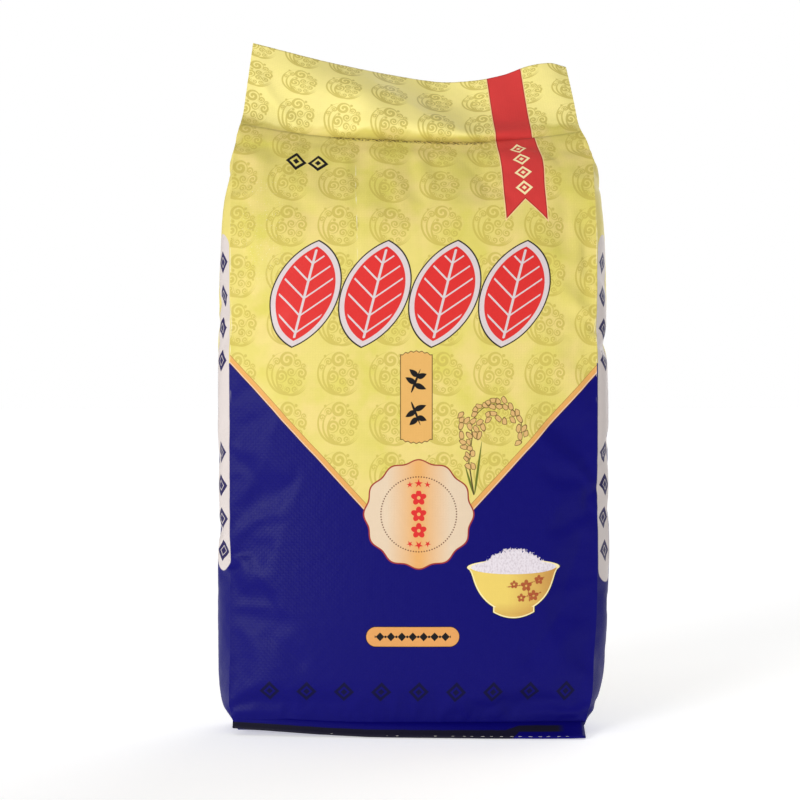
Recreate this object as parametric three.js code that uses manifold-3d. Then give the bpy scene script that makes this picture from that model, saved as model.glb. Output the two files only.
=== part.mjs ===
// A filled rice sack, standing on its flat bottom. The sack is one tube of printed woven plastic
// with a tucked gusset down each side. Its bottom seam is folded forward into a hem, and its empty
// mouth is pressed flat and leans back above a sharp crease.
// Millimetres, +Z up, +X to the right as seen from the front, and the front faces -Y.
// The origin is the middle of the flat bottom.
import * as THREE from "three";
import { mergeVertices } from "three/addons/utils/BufferGeometryUtils.js";
import Module from "manifold-3d";

// Driving dimensions
const PANEL_WIDTH = 330; // front or back panel laid flat, from gusset fold to gusset fold
const CREASE_HEIGHT = 531; // from the floor to the crease above the rice
const BODY_DEPTH = 86; // front to back through the middle of the filled body
const GUSSET_BULGE = 12.5; // how far a filled gusset stands out past its folds
const MOUTH_THICKNESS = 5; // the pressed mouth, measured level from front to back
const CREASE_DEPTH = 5; // how far the mouth's foot is tucked behind the crease
const HEM_HEIGHT = 14; // folded bottom seam, from the floor to where it leaves the front panel
const HEM_REACH = 11; // how far the hem's lip runs forward of the front panel
const HEM_THICKNESS = 4; // measured level
const HEM_ROOT = 6; // how far the hem starts inside the body, so that the two join
const HEM_SPAN = 306; // length of the hem along the front edge
const HEM_SHIFT = -5; // the hem and the bottom lie a little to the left
const HEM_TURN = 0.03; // the hem's right end lies further forward, as a slope

// How finely the surface is faceted
const PANEL_STEPS = 24;
const GUSSET_STEPS = 6;
const BODY_RINGS = 24;
const RING_CROWDING = 0.9; // 0 spaces the body's rings evenly, 1 crowds them most at both ends
const MOUTH_RINGS = 7;

const HALF_PANEL = PANEL_WIDTH / 2;
const HALF_DEPTH = BODY_DEPTH / 2;

// A table with named columns.
const table = (columns, rows) =>
  rows.map((row) => Object.fromEntries(columns.map((name, i) => [name, row[i]])));

// The body's section at chosen heights, from the bottom to the crease.
// up: share of the crease's height. fold: half width at the gusset folds, as a share of HALF_PANEL.
// front, back: depth of the panel's middle, and frontFold, backFold: depth of its folds, each as a
// share of HALF_DEPTH with the front negative. gusset: share of GUSSET_BULGE. lift: how far the
// folds lie above the panel's middle, in millimetres. shift: sideways, in millimetres.
const SECTIONS = table(
  ["up", "fold", "front", "frontFold", "backFold", "back", "gusset", "lift", "shift"],
  [
    [0, 0.9, -0.8, -0.74, 0.74, 0.8, 0, 0, -5],
    [0.015, 0.93, -0.9, -0.76, 0.76, 0.9, 0.2, 0, -4],
    [0.045, 0.957, -0.99, -0.76, 0.76, 0.99, 0.6, 0, -3],
    [0.1, 0.972, -1.06, -0.74, 0.74, 1.06, 0.9, 0, -1],
    [0.2, 0.976, -1.09, -0.7, 0.7, 1.09, 1, 0, 0],
    [0.45, 0.976, -1.03, -0.64, 0.64, 1.03, 1, 0, 0],
    [0.65, 0.976, -1, -0.63, 0.66, 1.01, 1, 0, 0],
    [0.75, 0.973, -0.96, -0.6, 0.7, 1, 0.9, 0, 0],
    [0.82, 0.97, -0.83, -0.46, 0.76, 0.99, 0.75, 1, 0],
    [0.885, 0.964, -0.52, -0.14, 0.84, 0.97, 0.45, 4, -1],
    [0.94, 0.958, -0.1, 0.32, 0.92, 0.94, 0.15, 7, -1.5],
    [0.977, 0.951, 0.27, 0.7, 1, 0.9, 0.03, 9, -2],
    [1, 0.941, 0.6, 0.95, 1.05, 0.84, 0, 10, -2],
  ],
);

// The mouth's top edge from its left corner to its right one: t runs from -1 to 1 across the
// panel, rise is the height above the crease and set is how far the edge lies behind the origin.
const MOUTH_EDGE = table(
  ["t", "rise", "set"],
  [
    [-1, 96.5, 88],
    [-0.45, 77, 92],
    [0.15, 61, 95],
    [0.5, 64, 93],
    [0.8, 79, 90],
    [1, 77, 96],
  ],
);
const MOUTH_HALF_WIDTH = 0.893 * HALF_PANEL;
const MOUTH_SHIFT = -2.5;

// A smooth value between rows of a table: at is where it is read, along the column named key.
function between(rows, key, at, column) {
  let i = 0;
  while (i < rows.length - 2 && rows[i + 1][key] < at) i += 1;
  const slope = (k) => {
    const low = rows[Math.max(k - 1, 0)];
    const high = rows[Math.min(k + 1, rows.length - 1)];
    return (high[column] - low[column]) / (high[key] - low[key]);
  };
  const step = rows[i + 1][key] - rows[i][key];
  const s = (at - rows[i][key]) / step;
  const rest = 1 - s;
  return (
    rows[i][column] * (1 + 2 * s) * rest * rest +
    rows[i + 1][column] * (3 - 2 * s) * s * s +
    step * s * rest * (slope(i) * rest - slope(i + 1) * s)
  );
}

// A closed ring round the sack: along the front panel, the right gusset, the back panel and the
// left gusset. panel(t, face) gives a point of the front or the back panel.
function ring(panel, bulge) {
  const points = [];
  const across = (i) => (2 * i) / PANEL_STEPS - 1;
  const gusset = (from, to, side) => {
    for (let i = 1; i < GUSSET_STEPS; i += 1) {
      const s = i / GUSSET_STEPS;
      const point = from.clone().lerp(to, s);
      point.x += side * bulge * 4 * s * (1 - s);
      points.push(point);
    }
  };
  for (let i = 0; i <= PANEL_STEPS; i += 1) points.push(panel(across(i), "front"));
  gusset(panel(1, "front"), panel(1, "back"), 1);
  for (let i = PANEL_STEPS; i >= 0; i -= 1) points.push(panel(across(i), "back"));
  gusset(panel(-1, "back"), panel(-1, "front"), -1);
  return points;
}

// The body's ring at a share of the crease's height.
function bodyRing(up) {
  const at = (column) => between(SECTIONS, "up", up, column);
  const depth = { front: [at("front"), at("frontFold")], back: [at("back"), at("backFold")] };
  const panel = (t, face) => {
    const [middle, fold] = depth[face];
    return new THREE.Vector3(
      t * at("fold") * HALF_PANEL + at("shift"),
      (fold + (middle - fold) * (1 - t * t)) * HALF_DEPTH,
      up * CREASE_HEIGHT + at("lift") * t * t,
    );
  };
  return ring(panel, at("gusset") * GUSSET_BULGE);
}

// The mouth's ring at a share of the way from its foot, tucked behind the crease, to its edge.
function mouthRing(share) {
  const crease = SECTIONS[SECTIONS.length - 1];
  const panel = (t, face) => {
    const bow = 1 - t * t;
    const foot = new THREE.Vector3(
      t * crease.fold * HALF_PANEL + crease.shift,
      (crease.frontFold + (crease.front - crease.frontFold) * bow) * HALF_DEPTH + CREASE_DEPTH * bow,
      CREASE_HEIGHT + crease.lift * t * t - CREASE_DEPTH * bow,
    );
    const edge = new THREE.Vector3(
      t * MOUTH_HALF_WIDTH + MOUTH_SHIFT,
      between(MOUTH_EDGE, "t", t, "set") - MOUTH_THICKNESS / 2,
      CREASE_HEIGHT + between(MOUTH_EDGE, "t", t, "rise"),
    );
    const point = foot.lerp(edge, share);
    if (face === "back") point.y += MOUTH_THICKNESS;
    return point;
  };
  return ring(panel, 0);
}

// Flat faces over one ring, between its front and back panels and out to its gussets.
function cap(start) {
  const backEnd = PANEL_STEPS + GUSSET_STEPS;
  const size = 2 * backEnd;
  const faces = [];
  for (let i = 0; i < PANEL_STEPS; i += 1) {
    const far = backEnd + PANEL_STEPS - i;
    faces.push([i, far % size, i + 1], [i + 1, far % size, far - 1]);
  }
  for (let i = 1; i < GUSSET_STEPS; i += 1) {
    faces.push([PANEL_STEPS, PANEL_STEPS + i + 1, PANEL_STEPS + i]);
    faces.push([0, (size - i) % size, size - i - 1]);
  }
  return faces.map((face) => face.map((corner) => start + corner));
}

// One closed skin through all the rings, with the first and the last ring capped.
function skinned(rings) {
  const size = rings[0].length;
  const faces = [];
  for (let k = 0; k < rings.length - 1; k += 1) {
    for (let i = 0; i < size; i += 1) {
      const a = k * size + i;
      const b = k * size + ((i + 1) % size);
      faces.push([a, b, b + size], [a, b + size, a + size]);
    }
  }
  faces.push(...cap(0));
  faces.push(...cap((rings.length - 1) * size).map(([a, b, c]) => [a, c, b]));
  return new THREE.BufferGeometry().setFromPoints(rings.flat()).setIndex(faces.flat());
}

// The filled tube from the flat bottom to the mouth's edge.
function tubeGeometry() {
  const rings = [];
  for (let i = 0; i <= BODY_RINGS; i += 1) {
    // The rings lie closer together near the bottom and near the crease, where the shape turns.
    const s = i / BODY_RINGS;
    rings.push(bodyRing(s - (RING_CROWDING * Math.sin(2 * Math.PI * s)) / (2 * Math.PI)));
  }
  for (let i = 0; i <= MOUTH_RINGS; i += 1) rings.push(mouthRing(i / MOUTH_RINGS));
  return skinned(rings);
}

// The bottom seam, folded over and sewn, as a strip that slopes from the front panel to the floor.
// It follows the front panel's curve, and its lip runs a little further forward on the right.
function hemGeometry() {
  const leaves = bodyRing(HEM_HEIGHT / CREASE_HEIGHT);
  const fold = leaves[0];
  const middle = leaves[PANEL_STEPS / 2];
  const lip = middle.y - HEM_REACH;
  const outline = new THREE.Shape();
  outline.moveTo(middle.y + HEM_ROOT, HEM_HEIGHT);
  outline.lineTo(middle.y - 1, HEM_HEIGHT);
  outline.lineTo(lip, HEM_THICKNESS / 2);
  outline.quadraticCurveTo(lip - 1, 0, lip + 1, 0);
  outline.lineTo(lip + HEM_THICKNESS, 0);
  outline.lineTo(middle.y + HEM_ROOT, HEM_HEIGHT - HEM_THICKNESS);
  outline.closePath();
  const geometry = new THREE.ExtrudeGeometry(outline, {
    depth: HEM_SPAN,
    steps: 16,
    bevelEnabled: false,
    curveSegments: 3,
  });
  const alongX = new THREE.Matrix4().makeBasis(
    new THREE.Vector3(0, 1, 0),
    new THREE.Vector3(0, 0, 1),
    new THREE.Vector3(1, 0, 0),
  );
  geometry.applyMatrix4(alongX);
  geometry.translate(HEM_SHIFT - HEM_SPAN / 2, 0, 0);
  const position = geometry.getAttribute("position");
  for (let i = 0; i < position.count; i += 1) {
    const x = position.getX(i);
    const bow = (fold.y - middle.y) * (x / fold.x) ** 2;
    const turn = HEM_TURN * x * (1 - position.getZ(i) / HEM_HEIGHT);
    position.setY(i, position.getY(i) + bow - turn);
  }
  return geometry;
}

const wasm = await Module();
wasm.setup();

// A closed geometry as a solid that can be joined.
function solid(geometry) {
  const bare = new THREE.BufferGeometry()
    .setAttribute("position", geometry.getAttribute("position"))
    .setIndex(geometry.index);
  const merged = mergeVertices(bare);
  return new wasm.Manifold(
    new wasm.Mesh({
      numProp: 3,
      vertProperties: new Float32Array(merged.getAttribute("position").array),
      triVerts: new Uint32Array(merged.index.array),
    }),
  );
}

// The joined solid as a geometry for drawing.
function geometryOf(joined) {
  const { vertProperties, triVerts, numProp } = joined.getMesh();
  const positions = new Float32Array((vertProperties.length / numProp) * 3);
  for (let i = 0; i < positions.length / 3; i += 1) {
    positions.set(vertProperties.subarray(i * numProp, i * numProp + 3), i * 3);
  }
  const geometry = new THREE.BufferGeometry()
    .setAttribute("position", new THREE.BufferAttribute(positions, 3))
    .setIndex(new THREE.BufferAttribute(new Uint32Array(triVerts), 1));
  geometry.computeVertexNormals();
  return geometry;
}

// Printed film over woven plastic: a warm yellow ground with a soft shine.
const printedFilm = new THREE.MeshStandardMaterial({
  color: new THREE.Color(0.86, 0.79, 0.4),
  roughness: 0.42,
  metalness: 0,
  flatShading: true,
});

const sack = new THREE.Mesh(
  geometryOf(solid(tubeGeometry()).add(solid(hemGeometry()))),
  printedFilm,
);
sack.name = "sack";

const riceSack = new THREE.Group();
riceSack.add(sack);

export default riceSack;
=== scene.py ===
# %% [markdown]
# # A filled rice sack
# This lesson dresses a plain solid of a ten-kilogram rice sack: a tube of printed woven plastic
# with tucked gussets, a folded bottom hem and an empty mouth pressed flat above the rice. The
# solid is the fixed frame. It gives the size and the place, and every piece here keeps to it.

# %% Load the fixed frame
import math
import random
from functools import reduce

import bmesh
import bpy
from mathutils import Matrix, Vector, noise


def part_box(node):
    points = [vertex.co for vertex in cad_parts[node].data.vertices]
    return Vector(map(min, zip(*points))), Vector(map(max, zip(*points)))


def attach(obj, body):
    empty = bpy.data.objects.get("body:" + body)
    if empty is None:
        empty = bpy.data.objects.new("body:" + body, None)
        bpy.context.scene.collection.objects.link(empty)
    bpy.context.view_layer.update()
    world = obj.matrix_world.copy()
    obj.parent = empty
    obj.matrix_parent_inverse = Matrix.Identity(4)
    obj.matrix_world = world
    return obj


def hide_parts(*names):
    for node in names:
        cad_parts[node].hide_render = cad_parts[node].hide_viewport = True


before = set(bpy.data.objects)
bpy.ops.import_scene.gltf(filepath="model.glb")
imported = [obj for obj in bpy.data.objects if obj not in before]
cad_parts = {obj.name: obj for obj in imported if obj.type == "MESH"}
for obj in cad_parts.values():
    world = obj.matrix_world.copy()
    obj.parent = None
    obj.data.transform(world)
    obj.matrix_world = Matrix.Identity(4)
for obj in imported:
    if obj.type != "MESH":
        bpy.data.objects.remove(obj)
scene = bpy.context.scene
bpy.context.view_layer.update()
sack_low, sack_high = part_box("sack")
MM = 0.001
print("the solid spans", [round(v * 1000) for v in sack_high - sack_low], "mm")

# %% [markdown]
# ## The camera
# The photograph looks straight at the front panel with a long lens, so upright lines stay
# upright. A level camera at about half the sack's height does the same without any lens shift.
# Its lens follows from one measure: how much of the front panel's plane the picture takes in.

# %% Camera
PICTURE_WIDTH = 700 * MM
CAMERA_DISTANCE = 1600 * MM
FRONT_PLANE = -30 * MM
AIM_X, AIM_Z = -12 * MM, 292.5 * MM

camera_data = bpy.data.cameras.new("camera")
camera_data.lens = camera_data.sensor_width * CAMERA_DISTANCE / PICTURE_WIDTH
camera = bpy.data.objects.new("camera", camera_data)
camera.location = (AIM_X, FRONT_PLANE - CAMERA_DISTANCE, AIM_Z)
camera.rotation_euler = (math.radians(90), 0, 0)
scene.collection.objects.link(camera)
scene.camera = camera
print("lens", round(camera_data.lens, 1), "mm")

# %% [markdown]
# ## Floor and light
# The studio is plain: a white floor without an end, which glows a little so that it stays white,
# a soft sky, and a soft key light from the front left. Two windows at the sides show as a faint
# shine in the film. The standard view transform leaves the printed colours almost as they are.

# %% Floor and light
scene.view_settings.view_transform = "Standard"
SKY_LIGHT, SKY_SEEN = 0.3, 1.0
FLOOR_GLOW, FLOOR_SIZE = 0.46, 60
LIT_PLACE = Vector((0, 0, 0.3))

world = bpy.data.worlds.new("studio")
world.use_nodes = True
sky = world.node_tree
lighting = sky.nodes["Background"]
seen = sky.nodes.new("ShaderNodeBackground")
for background, strength in ((lighting, SKY_LIGHT), (seen, SKY_SEEN)):
    background.inputs["Strength"].default_value = strength
    background.inputs["Color"].default_value = (1, 1, 1, 1)
which_ray = sky.nodes.new("ShaderNodeLightPath")
either = sky.nodes.new("ShaderNodeMixShader")
sky.links.new(which_ray.outputs["Is Camera Ray"], either.inputs[0])
sky.links.new(lighting.outputs[0], either.inputs[1])
sky.links.new(seen.outputs[0], either.inputs[2])
sky.links.new(either.outputs[0], sky.nodes["World Output"].inputs["Surface"])
scene.world = world


def object_of(name, mesh):
    """A new object in the scene with a bmesh's shape. The bmesh is freed."""
    data = bpy.data.meshes.new(name)
    mesh.to_mesh(data)
    mesh.free()
    made = bpy.data.objects.new(name, data)
    scene.collection.objects.link(made)
    return made


def new_material(name):
    """A new material, its node tree and its shader."""
    material = bpy.data.materials.new(name)
    material.use_nodes = True
    tree = material.node_tree
    return material, tree, tree.nodes["Principled BSDF"]


def aim(lamp, place):
    """Puts a lamp in a place and turns it towards the sack."""
    lamp.location = place
    lamp.rotation_euler = (LIT_PLACE - Vector(place)).to_track_quat("-Z", "Y").to_euler()
    scene.collection.objects.link(lamp)


def soft_sun(name, place, strength, degrees):
    """Even light from one side, soft because the sun is wide."""
    data = bpy.data.lights.new(name, "SUN")
    data.energy = strength
    data.angle = math.radians(degrees)
    aim(bpy.data.objects.new(name, data), place)


def window(name, place, size, watts):
    """A large area light, which also shows as a soft shine in the film."""
    data = bpy.data.lights.new(name, "AREA")
    data.shape = "RECTANGLE"
    data.size, data.size_y = size
    data.energy = watts
    aim(bpy.data.objects.new(name, data), place)


soft_sun("key", (-1.65, -2.45, 0.95), 1.7, 20)
soft_sun("fill_above", (-0.6, -0.8, 2.8), 0.2, 40)
soft_sun("fill_behind", (1.5, 2.5, 1.6), 1.0, 50)
window("window_left", (-1.9, -1.2, 1.1), (0.35, 1.3), 3.5)
window("window_right", (1.9, -1.0, 0.8), (0.3, 1.3), 1.2)

floor_mesh = bmesh.new()
bmesh.ops.create_grid(floor_mesh, x_segments=1, y_segments=1, size=FLOOR_SIZE)
floor = object_of("floor", floor_mesh)
paper, _, shader = new_material("white_paper")
for socket, value in (
    ("Base Color", (0.93, 0.93, 0.93, 1)),
    ("Roughness", 0.9),
    ("Emission Color", (1, 1, 1, 1)),
    ("Emission Strength", FLOOR_GLOW),
):
    shader.inputs[socket].default_value = value
floor.data.materials.append(paper)

# %% [markdown]
# ## The cut of the sack and its filled form
# A real sack starts as a flat tube: front panel, gusset, back panel, gusset. Filling only bends
# it. So the skin is one grid whose columns run round the tube and whose rows run up it, and each
# grid point is carried to its place in the filled sack. The sections below are the solid's own,
# at chosen heights. Between them, every value runs on one smooth curve.

# %% Driving sizes
PANEL_WIDTH = 330 * MM
GUSSET_WIDTH = 66 * MM
CREASE_HEIGHT = 531 * MM
BODY_DEPTH = 86 * MM
GUSSET_BULGE = 12.5 * MM
MOUTH_THICKNESS = 5 * MM
CREASE_DEPTH = 7 * MM
MOUTH_HALF_WIDTH = 0.893 * PANEL_WIDTH / 2
MOUTH_SHIFT = -2.5 * MM
HALF_PANEL = PANEL_WIDTH / 2
HALF_DEPTH = BODY_DEPTH / 2

# Share of the crease's height, then: half width at the folds, depth of the front panel's middle,
# of its folds, of the back panel's folds and of its middle, gusset bulge, lift of the folds in
# millimetres and sideways shift in millimetres.
SECTIONS = (
    (0, 0.9, -0.8, -0.74, 0.74, 0.8, 0, 0, -5),
    (0.015, 0.93, -0.9, -0.76, 0.76, 0.9, 0.2, 0, -4),
    (0.045, 0.957, -0.99, -0.76, 0.76, 0.99, 0.6, 0, -3),
    (0.1, 0.972, -1.06, -0.74, 0.74, 1.06, 0.9, 0, -1),
    (0.2, 0.976, -1.09, -0.7, 0.7, 1.09, 1, 0, 0),
    (0.45, 0.976, -1.03, -0.64, 0.64, 1.03, 1, 0, 0),
    (0.65, 0.976, -1, -0.63, 0.66, 1.01, 1, 0, 0),
    (0.75, 0.973, -0.96, -0.6, 0.7, 1, 0.9, 0, 0),
    (0.82, 0.97, -0.83, -0.46, 0.76, 0.99, 0.75, 1, 0),
    (0.885, 0.964, -0.52, -0.14, 0.84, 0.97, 0.58, 4, -1),
    (0.94, 0.958, -0.1, 0.32, 0.92, 0.94, 0.3, 7, -1.5),
    (0.977, 0.951, 0.27, 0.7, 1, 0.9, 0.03, 9, -2),
    (1, 0.941, 0.6, 0.95, 1.05, 0.84, 0, 10, -2),
)
# The mouth's edge from left to right: place across the panel, rise above the crease and depth.
MOUTH_EDGE = (
    (-1, 96.5, 88),
    (-0.45, 77, 92),
    (0.15, 61.5, 95),
    (0.4, 62, 93.5),
    (0.6, 67.5, 92),
    (0.75, 75.3, 90.5),
    (0.9, 79, 92),
    (1, 76, 96),
)
# How far the left and the right side stand out past the sections, in millimetres, by height.
SIDE_TRIM = (
    (0, 0, -0.5),
    (0.05, 0, -1.5),
    (0.12, -0.5, -3),
    (0.2, 0, -1),
    (0.3, 0, 0),
    (0.75, 0.5, 0),
    (0.85, 1.8, 1.8),
    (0.9, 2, 2.8),
    (0.95, 2.5, 5.4),
    (0.98, 1.2, 3.4),
    (1, 0.5, 0.5),
)


def smooth_between(rows, at):
    """Every column of a table at a place between its rows, on one smooth curve."""
    i = min(max(sum(row[0] <= at for row in rows) - 1, 0), len(rows) - 2)
    low, high = rows[i], rows[i + 1]
    step = high[0] - low[0]
    s = (at - low[0]) / step

    def slope(k, column):
        before, after = rows[max(k - 1, 0)], rows[min(k + 1, len(rows) - 1)]
        return (after[column] - before[column]) / (after[0] - before[0])

    return [
        low[c] * (1 + 2 * s) * (1 - s) ** 2
        + high[c] * (3 - 2 * s) * s * s
        + step * s * (1 - s) * (slope(i, c) * (1 - s) - slope(i + 1, c) * s)
        for c in range(1, len(low))
    ]


def smoothstep(low, high, value):
    """0 below low, 1 above high, and a smooth rise between them."""
    s = min(max((value - low) / (high - low), 0), 1)
    return s * s * (3 - 2 * s)


# %% [markdown]
# ## Rows of the skin
# Three kinds of row follow each other: the filled body up to the crease, the tuck behind it, and
# the pressed mouth. A gusset bulges out where rice fills it and folds in between the two panels
# where the sack is empty, which gives the dimple at each shoulder.

# %% The form of every row
BODY_ROWS, TUCK_ROWS, MOUTH_ROWS = 104, 3, 30
ROWS = BODY_ROWS + TUCK_ROWS + MOUTH_ROWS
SHEET_GAP = 0.3 * MM  # the skin lies this far inside the solid's mouth
GUSSET_TUCK = 31 * MM
TUCK_STARTS, TUCK_ENDS = 0.935, 1.0
CORNER_LIFT, LIFT_STARTS, LIFT_ENDS = 4.4 * MM, -30 * MM, -158 * MM
SAG_STARTS = 0.88
FOOT_BACK, FOOT_DOWN = 0.6, 0.3  # shares of the crease's depth


def corner_lift(x):
    """How far the bottom's left end stands off the floor."""
    return CORNER_LIFT * smoothstep(LIFT_STARTS, LIFT_ENDS, x)


# How far the crease hangs below its height, in millimetres, by place across the panel.
CREASE_SAG = (
    (-1, -4.4), (-0.67, 0), (-0.5, 1.6), (-0.2, 2.6), (0.05, 4.0), (0.35, 6.2), (0.6, 5.0),
    (0.8, 4.4), (1, 2.6),
)


def crease_sag(t, up):
    """How far a point near the crease hangs down with it."""
    if up < SAG_STARTS:
        return 0
    (sag,) = smooth_between(CREASE_SAG, t)
    return sag * MM * smoothstep(SAG_STARTS, 1, up)


def body_section(up):
    """The panels' curve and the gusset's bulge at a share of the crease's height."""
    fold, front, front_fold, back_fold, back, gusset, lift, shift = smooth_between(SECTIONS, up)
    trim_left, trim_right = smooth_between(SIDE_TRIM, up)

    def panel(t, face):
        middle, edge = (front, front_fold) if face == "front" else (back, back_fold)
        sink = crease_sag(t, up)
        if face == "back":
            # Behind the crease, the back panel already turns with the mouth a little below it.
            sink += CREASE_DEPTH * smoothstep(0.96, 1, up) * (1 - t * t)
        trim = trim_left if t < 0 else trim_right
        x = t * fold * HALF_PANEL + (shift + t * abs(t) * trim) * MM
        depth = (edge + (middle - edge) * (1 - t * t)) * HALF_DEPTH
        stand = corner_lift(x) * (1 - smoothstep(0, 0.05, up))
        return Vector((x, depth, up * CREASE_HEIGHT + lift * MM * t * t - sink + stand))

    tuck = GUSSET_TUCK * smoothstep(TUCK_STARTS, TUCK_ENDS, up)
    return panel, gusset * GUSSET_BULGE, tuck


# Above the crease the mouth stands up first and then lies back: how much of its whole lean it has
# reached at these shares of its height, by place across the panel.
LEAN_AT = (0, 0.12, 0.3, 0.6, 0.8, 1)
MOUTH_LEAN = (
    (-1, 0, 0.3, 0.46, 0.68, 0.84, 1),
    (-0.6, 0, 0.06, 0.24, 0.48, 0.7, 1),
    (-0.3, 0, -0.12, -0.08, 0.12, 0.5, 1),
    (0, 0, -0.12, -0.07, 0.32, 0.66, 1),
    (0.15, 0, -0.12, 0.02, 0.58, 0.82, 1),
    (0.35, 0, -0.1, 0.2, 0.66, 0.84, 1),
    (0.6, 0, -0.02, 0.27, 0.6, 0.8, 1),
    (1, 0, 0.3, 0.46, 0.68, 0.84, 1),
)
# Folds pressed into the empty mouth, which all its layers share: where each starts and ends (place
# across the panel from -1 to 1 and share of the mouth's height), how far it lies back and how wide
# each of its slopes is, both in millimetres. A ridge lies back by less than nothing.
MOUTH_FOLDS = (
    ((-1.0, 0.72), (-0.66, 0.06), -2.0, 10),
    ((-0.31, 0.9), (0.44, 0.02), -2.6, 14),
    ((0.3, 1.0), (0.62, 0.1), 1.4, 16),
    ((0.7, 0.07), (1.02, 0.1), -1.5, 7),
)
MOUTH_LENGTH = 95


def crease_depth(across, up, fold):
    """The depth of one straight fold at a place, all in millimetres."""
    (x0, y0), (x1, y1), depth, width = fold
    run_x, run_y = x1 - x0, y1 - y0
    length = math.hypot(run_x, run_y)
    share = ((across - x0) * run_x + (up - y0) * run_y) / length**2
    off = abs((across - x0) * run_y - (up - y0) * run_x) / length
    if off >= width or not 0 < share < 1:
        return 0.0
    slope = 1 - off / width
    ends = smoothstep(0, 0.25, share) * smoothstep(0, 0.2, 1 - share)
    return depth * slope * (0.45 + 0.55 * slope) * ends


def mouth_wave(t, share):
    """How far the pressed mouth strays from a flat sheet, towards the back."""
    belly = math.sin(math.pi * share)
    slack = 2.2 * math.cos(2.4 * math.pi * t + 0.8) + 1.2 * math.sin(5.1 * math.pi * t + 2)
    curl = 4 * smoothstep(0.72, 1, t) * share**2
    folds = 0
    for (t0, s0), (t1, s1), depth, width in MOUTH_FOLDS:
        ends = ((t0 * HALF_PANEL / MM, s0 * MOUTH_LENGTH), (t1 * HALF_PANEL / MM, s1 * MOUTH_LENGTH))
        folds += crease_depth(t * HALF_PANEL / MM, share * MOUTH_LENGTH, (*ends, depth, width))
    return (slack * belly + curl + folds * smoothstep(0, 0.1, share)) * MM


def mouth_section(share):
    """The panels' curve at a share of the way from the mouth's foot to its edge."""
    crest, _, _ = body_section(1)

    def panel(t, face):
        bow = 1 - t * t
        deep = CREASE_DEPTH * bow
        foot = crest(t, "front") + Vector((0, deep * FOOT_BACK, -deep * FOOT_DOWN))
        rise, back = smooth_between(MOUTH_EDGE, t)
        edge = Vector((
            t * MOUTH_HALF_WIDTH + MOUTH_SHIFT,
            back * MM - MOUTH_THICKNESS / 2,
            CREASE_HEIGHT + rise * MM,
        ))
        point = foot.lerp(edge, share)
        (lean,) = smooth_between(list(zip(LEAN_AT, smooth_between(MOUTH_LEAN, t))), share)
        point.y = foot.y + (edge.y - foot.y) * lean
        point.y += SHEET_GAP if face == "front" else MOUTH_THICKNESS - SHEET_GAP
        point.y += mouth_wave(t, share)
        return point

    return panel, 0, GUSSET_TUCK


def tuck_section(share):
    """Between the crease's crest and the mouth's foot, which lies behind it on the front only."""
    crest, _, _ = body_section(1)
    foot, _, _ = mouth_section(0)

    def panel(t, face):
        return crest(t, face).lerp(foot(t, face), share)

    return panel, 0, GUSSET_TUCK


def section_of(row):
    """The section of a row of the skin."""
    if row <= BODY_ROWS:
        return body_section(row / BODY_ROWS)
    if row <= BODY_ROWS + TUCK_ROWS:
        return tuck_section((row - BODY_ROWS) / TUCK_ROWS)
    return mouth_section((row - BODY_ROWS - TUCK_ROWS) / MOUTH_ROWS)


def gusset_point(section, s, side):
    """A point of a gusset: s runs from its front fold to its back fold."""
    panel, bulge, tuck = section
    t = side * (1 - tuck / HALF_PANEL * (1 - abs(2 * s - 1)))
    # Where it is tucked, each half leaves its panel at once and then runs along between the two.
    pressed = 0.5 + 0.5 * math.copysign(1 - (1 - abs(2 * s - 1)) ** 0.5, 2 * s - 1)
    depth = s + (pressed - s) * tuck / GUSSET_TUCK
    point = panel(t, "front").lerp(panel(t, "back"), depth)
    point.x += side * bulge * 4 * s * (1 - s)
    return point


sections = [section_of(row) for row in range(ROWS + 1)]
heights = [0.0]
for row in range(ROWS):
    step = (sections[row + 1][0](0, "front") - sections[row][0](0, "front")).length
    heights.append(heights[-1] + step)
print("cut length of the front panel", round(heights[-1] * 1000), "mm")
print("the crease lies at", round(heights[BODY_ROWS] * 1000), "mm of it")

# %% [markdown]
# ## One grid becomes the tube
# `create_grid` gives the rows and columns. A layer on each face remembers which piece of the
# tube it belongs to, and the UV map is the flat sheet itself, in metres: across each panel from
# its middle and up from the floor. The print is drawn on that sheet later, so it bends, tucks and
# foreshortens just as ink on a real sack does.


# %% Flat grids
def new_grid(columns, rows):
    """A flat grid and its UV layer, which has to be there before the first face."""
    grid = bmesh.new()
    uv = grid.loops.layers.uv.new("UVMap")
    bmesh.ops.create_grid(grid, x_segments=columns, y_segments=rows, size=1, calc_uvs=True)
    return grid, uv


def places_in(grid, columns, rows):
    """The column and row of each point of a flat grid. A layer added later would undo it."""
    return {
        v: (round((v.co.x + 1) / 2 * columns), round((v.co.y + 1) / 2 * rows)) for v in grid.verts
    }


# %% Roll the grid into the tube
PANEL_COLUMNS, GUSSET_COLUMNS = 70, 12
COLUMNS = 2 * (PANEL_COLUMNS + GUSSET_COLUMNS)
PIECES = ("front_panel", "right_gusset", "back_panel", "left_gusset")


def column_place(column):
    """The piece that a column lies in, and how far across that piece it is, from 0 to 1."""
    for index, width in enumerate((PANEL_COLUMNS, GUSSET_COLUMNS, PANEL_COLUMNS, GUSSET_COLUMNS)):
        if column <= width:
            return index, column / width
        column -= width
    return 3, 1.0


def skin_point(column, row):
    """A grid point's place in the filled sack."""
    piece, s = column_place(column)
    section = sections[row]
    if piece == 0:
        return section[0](2 * s - 1, "front")
    if piece == 1:
        return gusset_point(section, s, 1)
    if piece == 2:
        return section[0](1 - 2 * s, "back")
    return gusset_point(section, 1 - s, -1)


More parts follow.
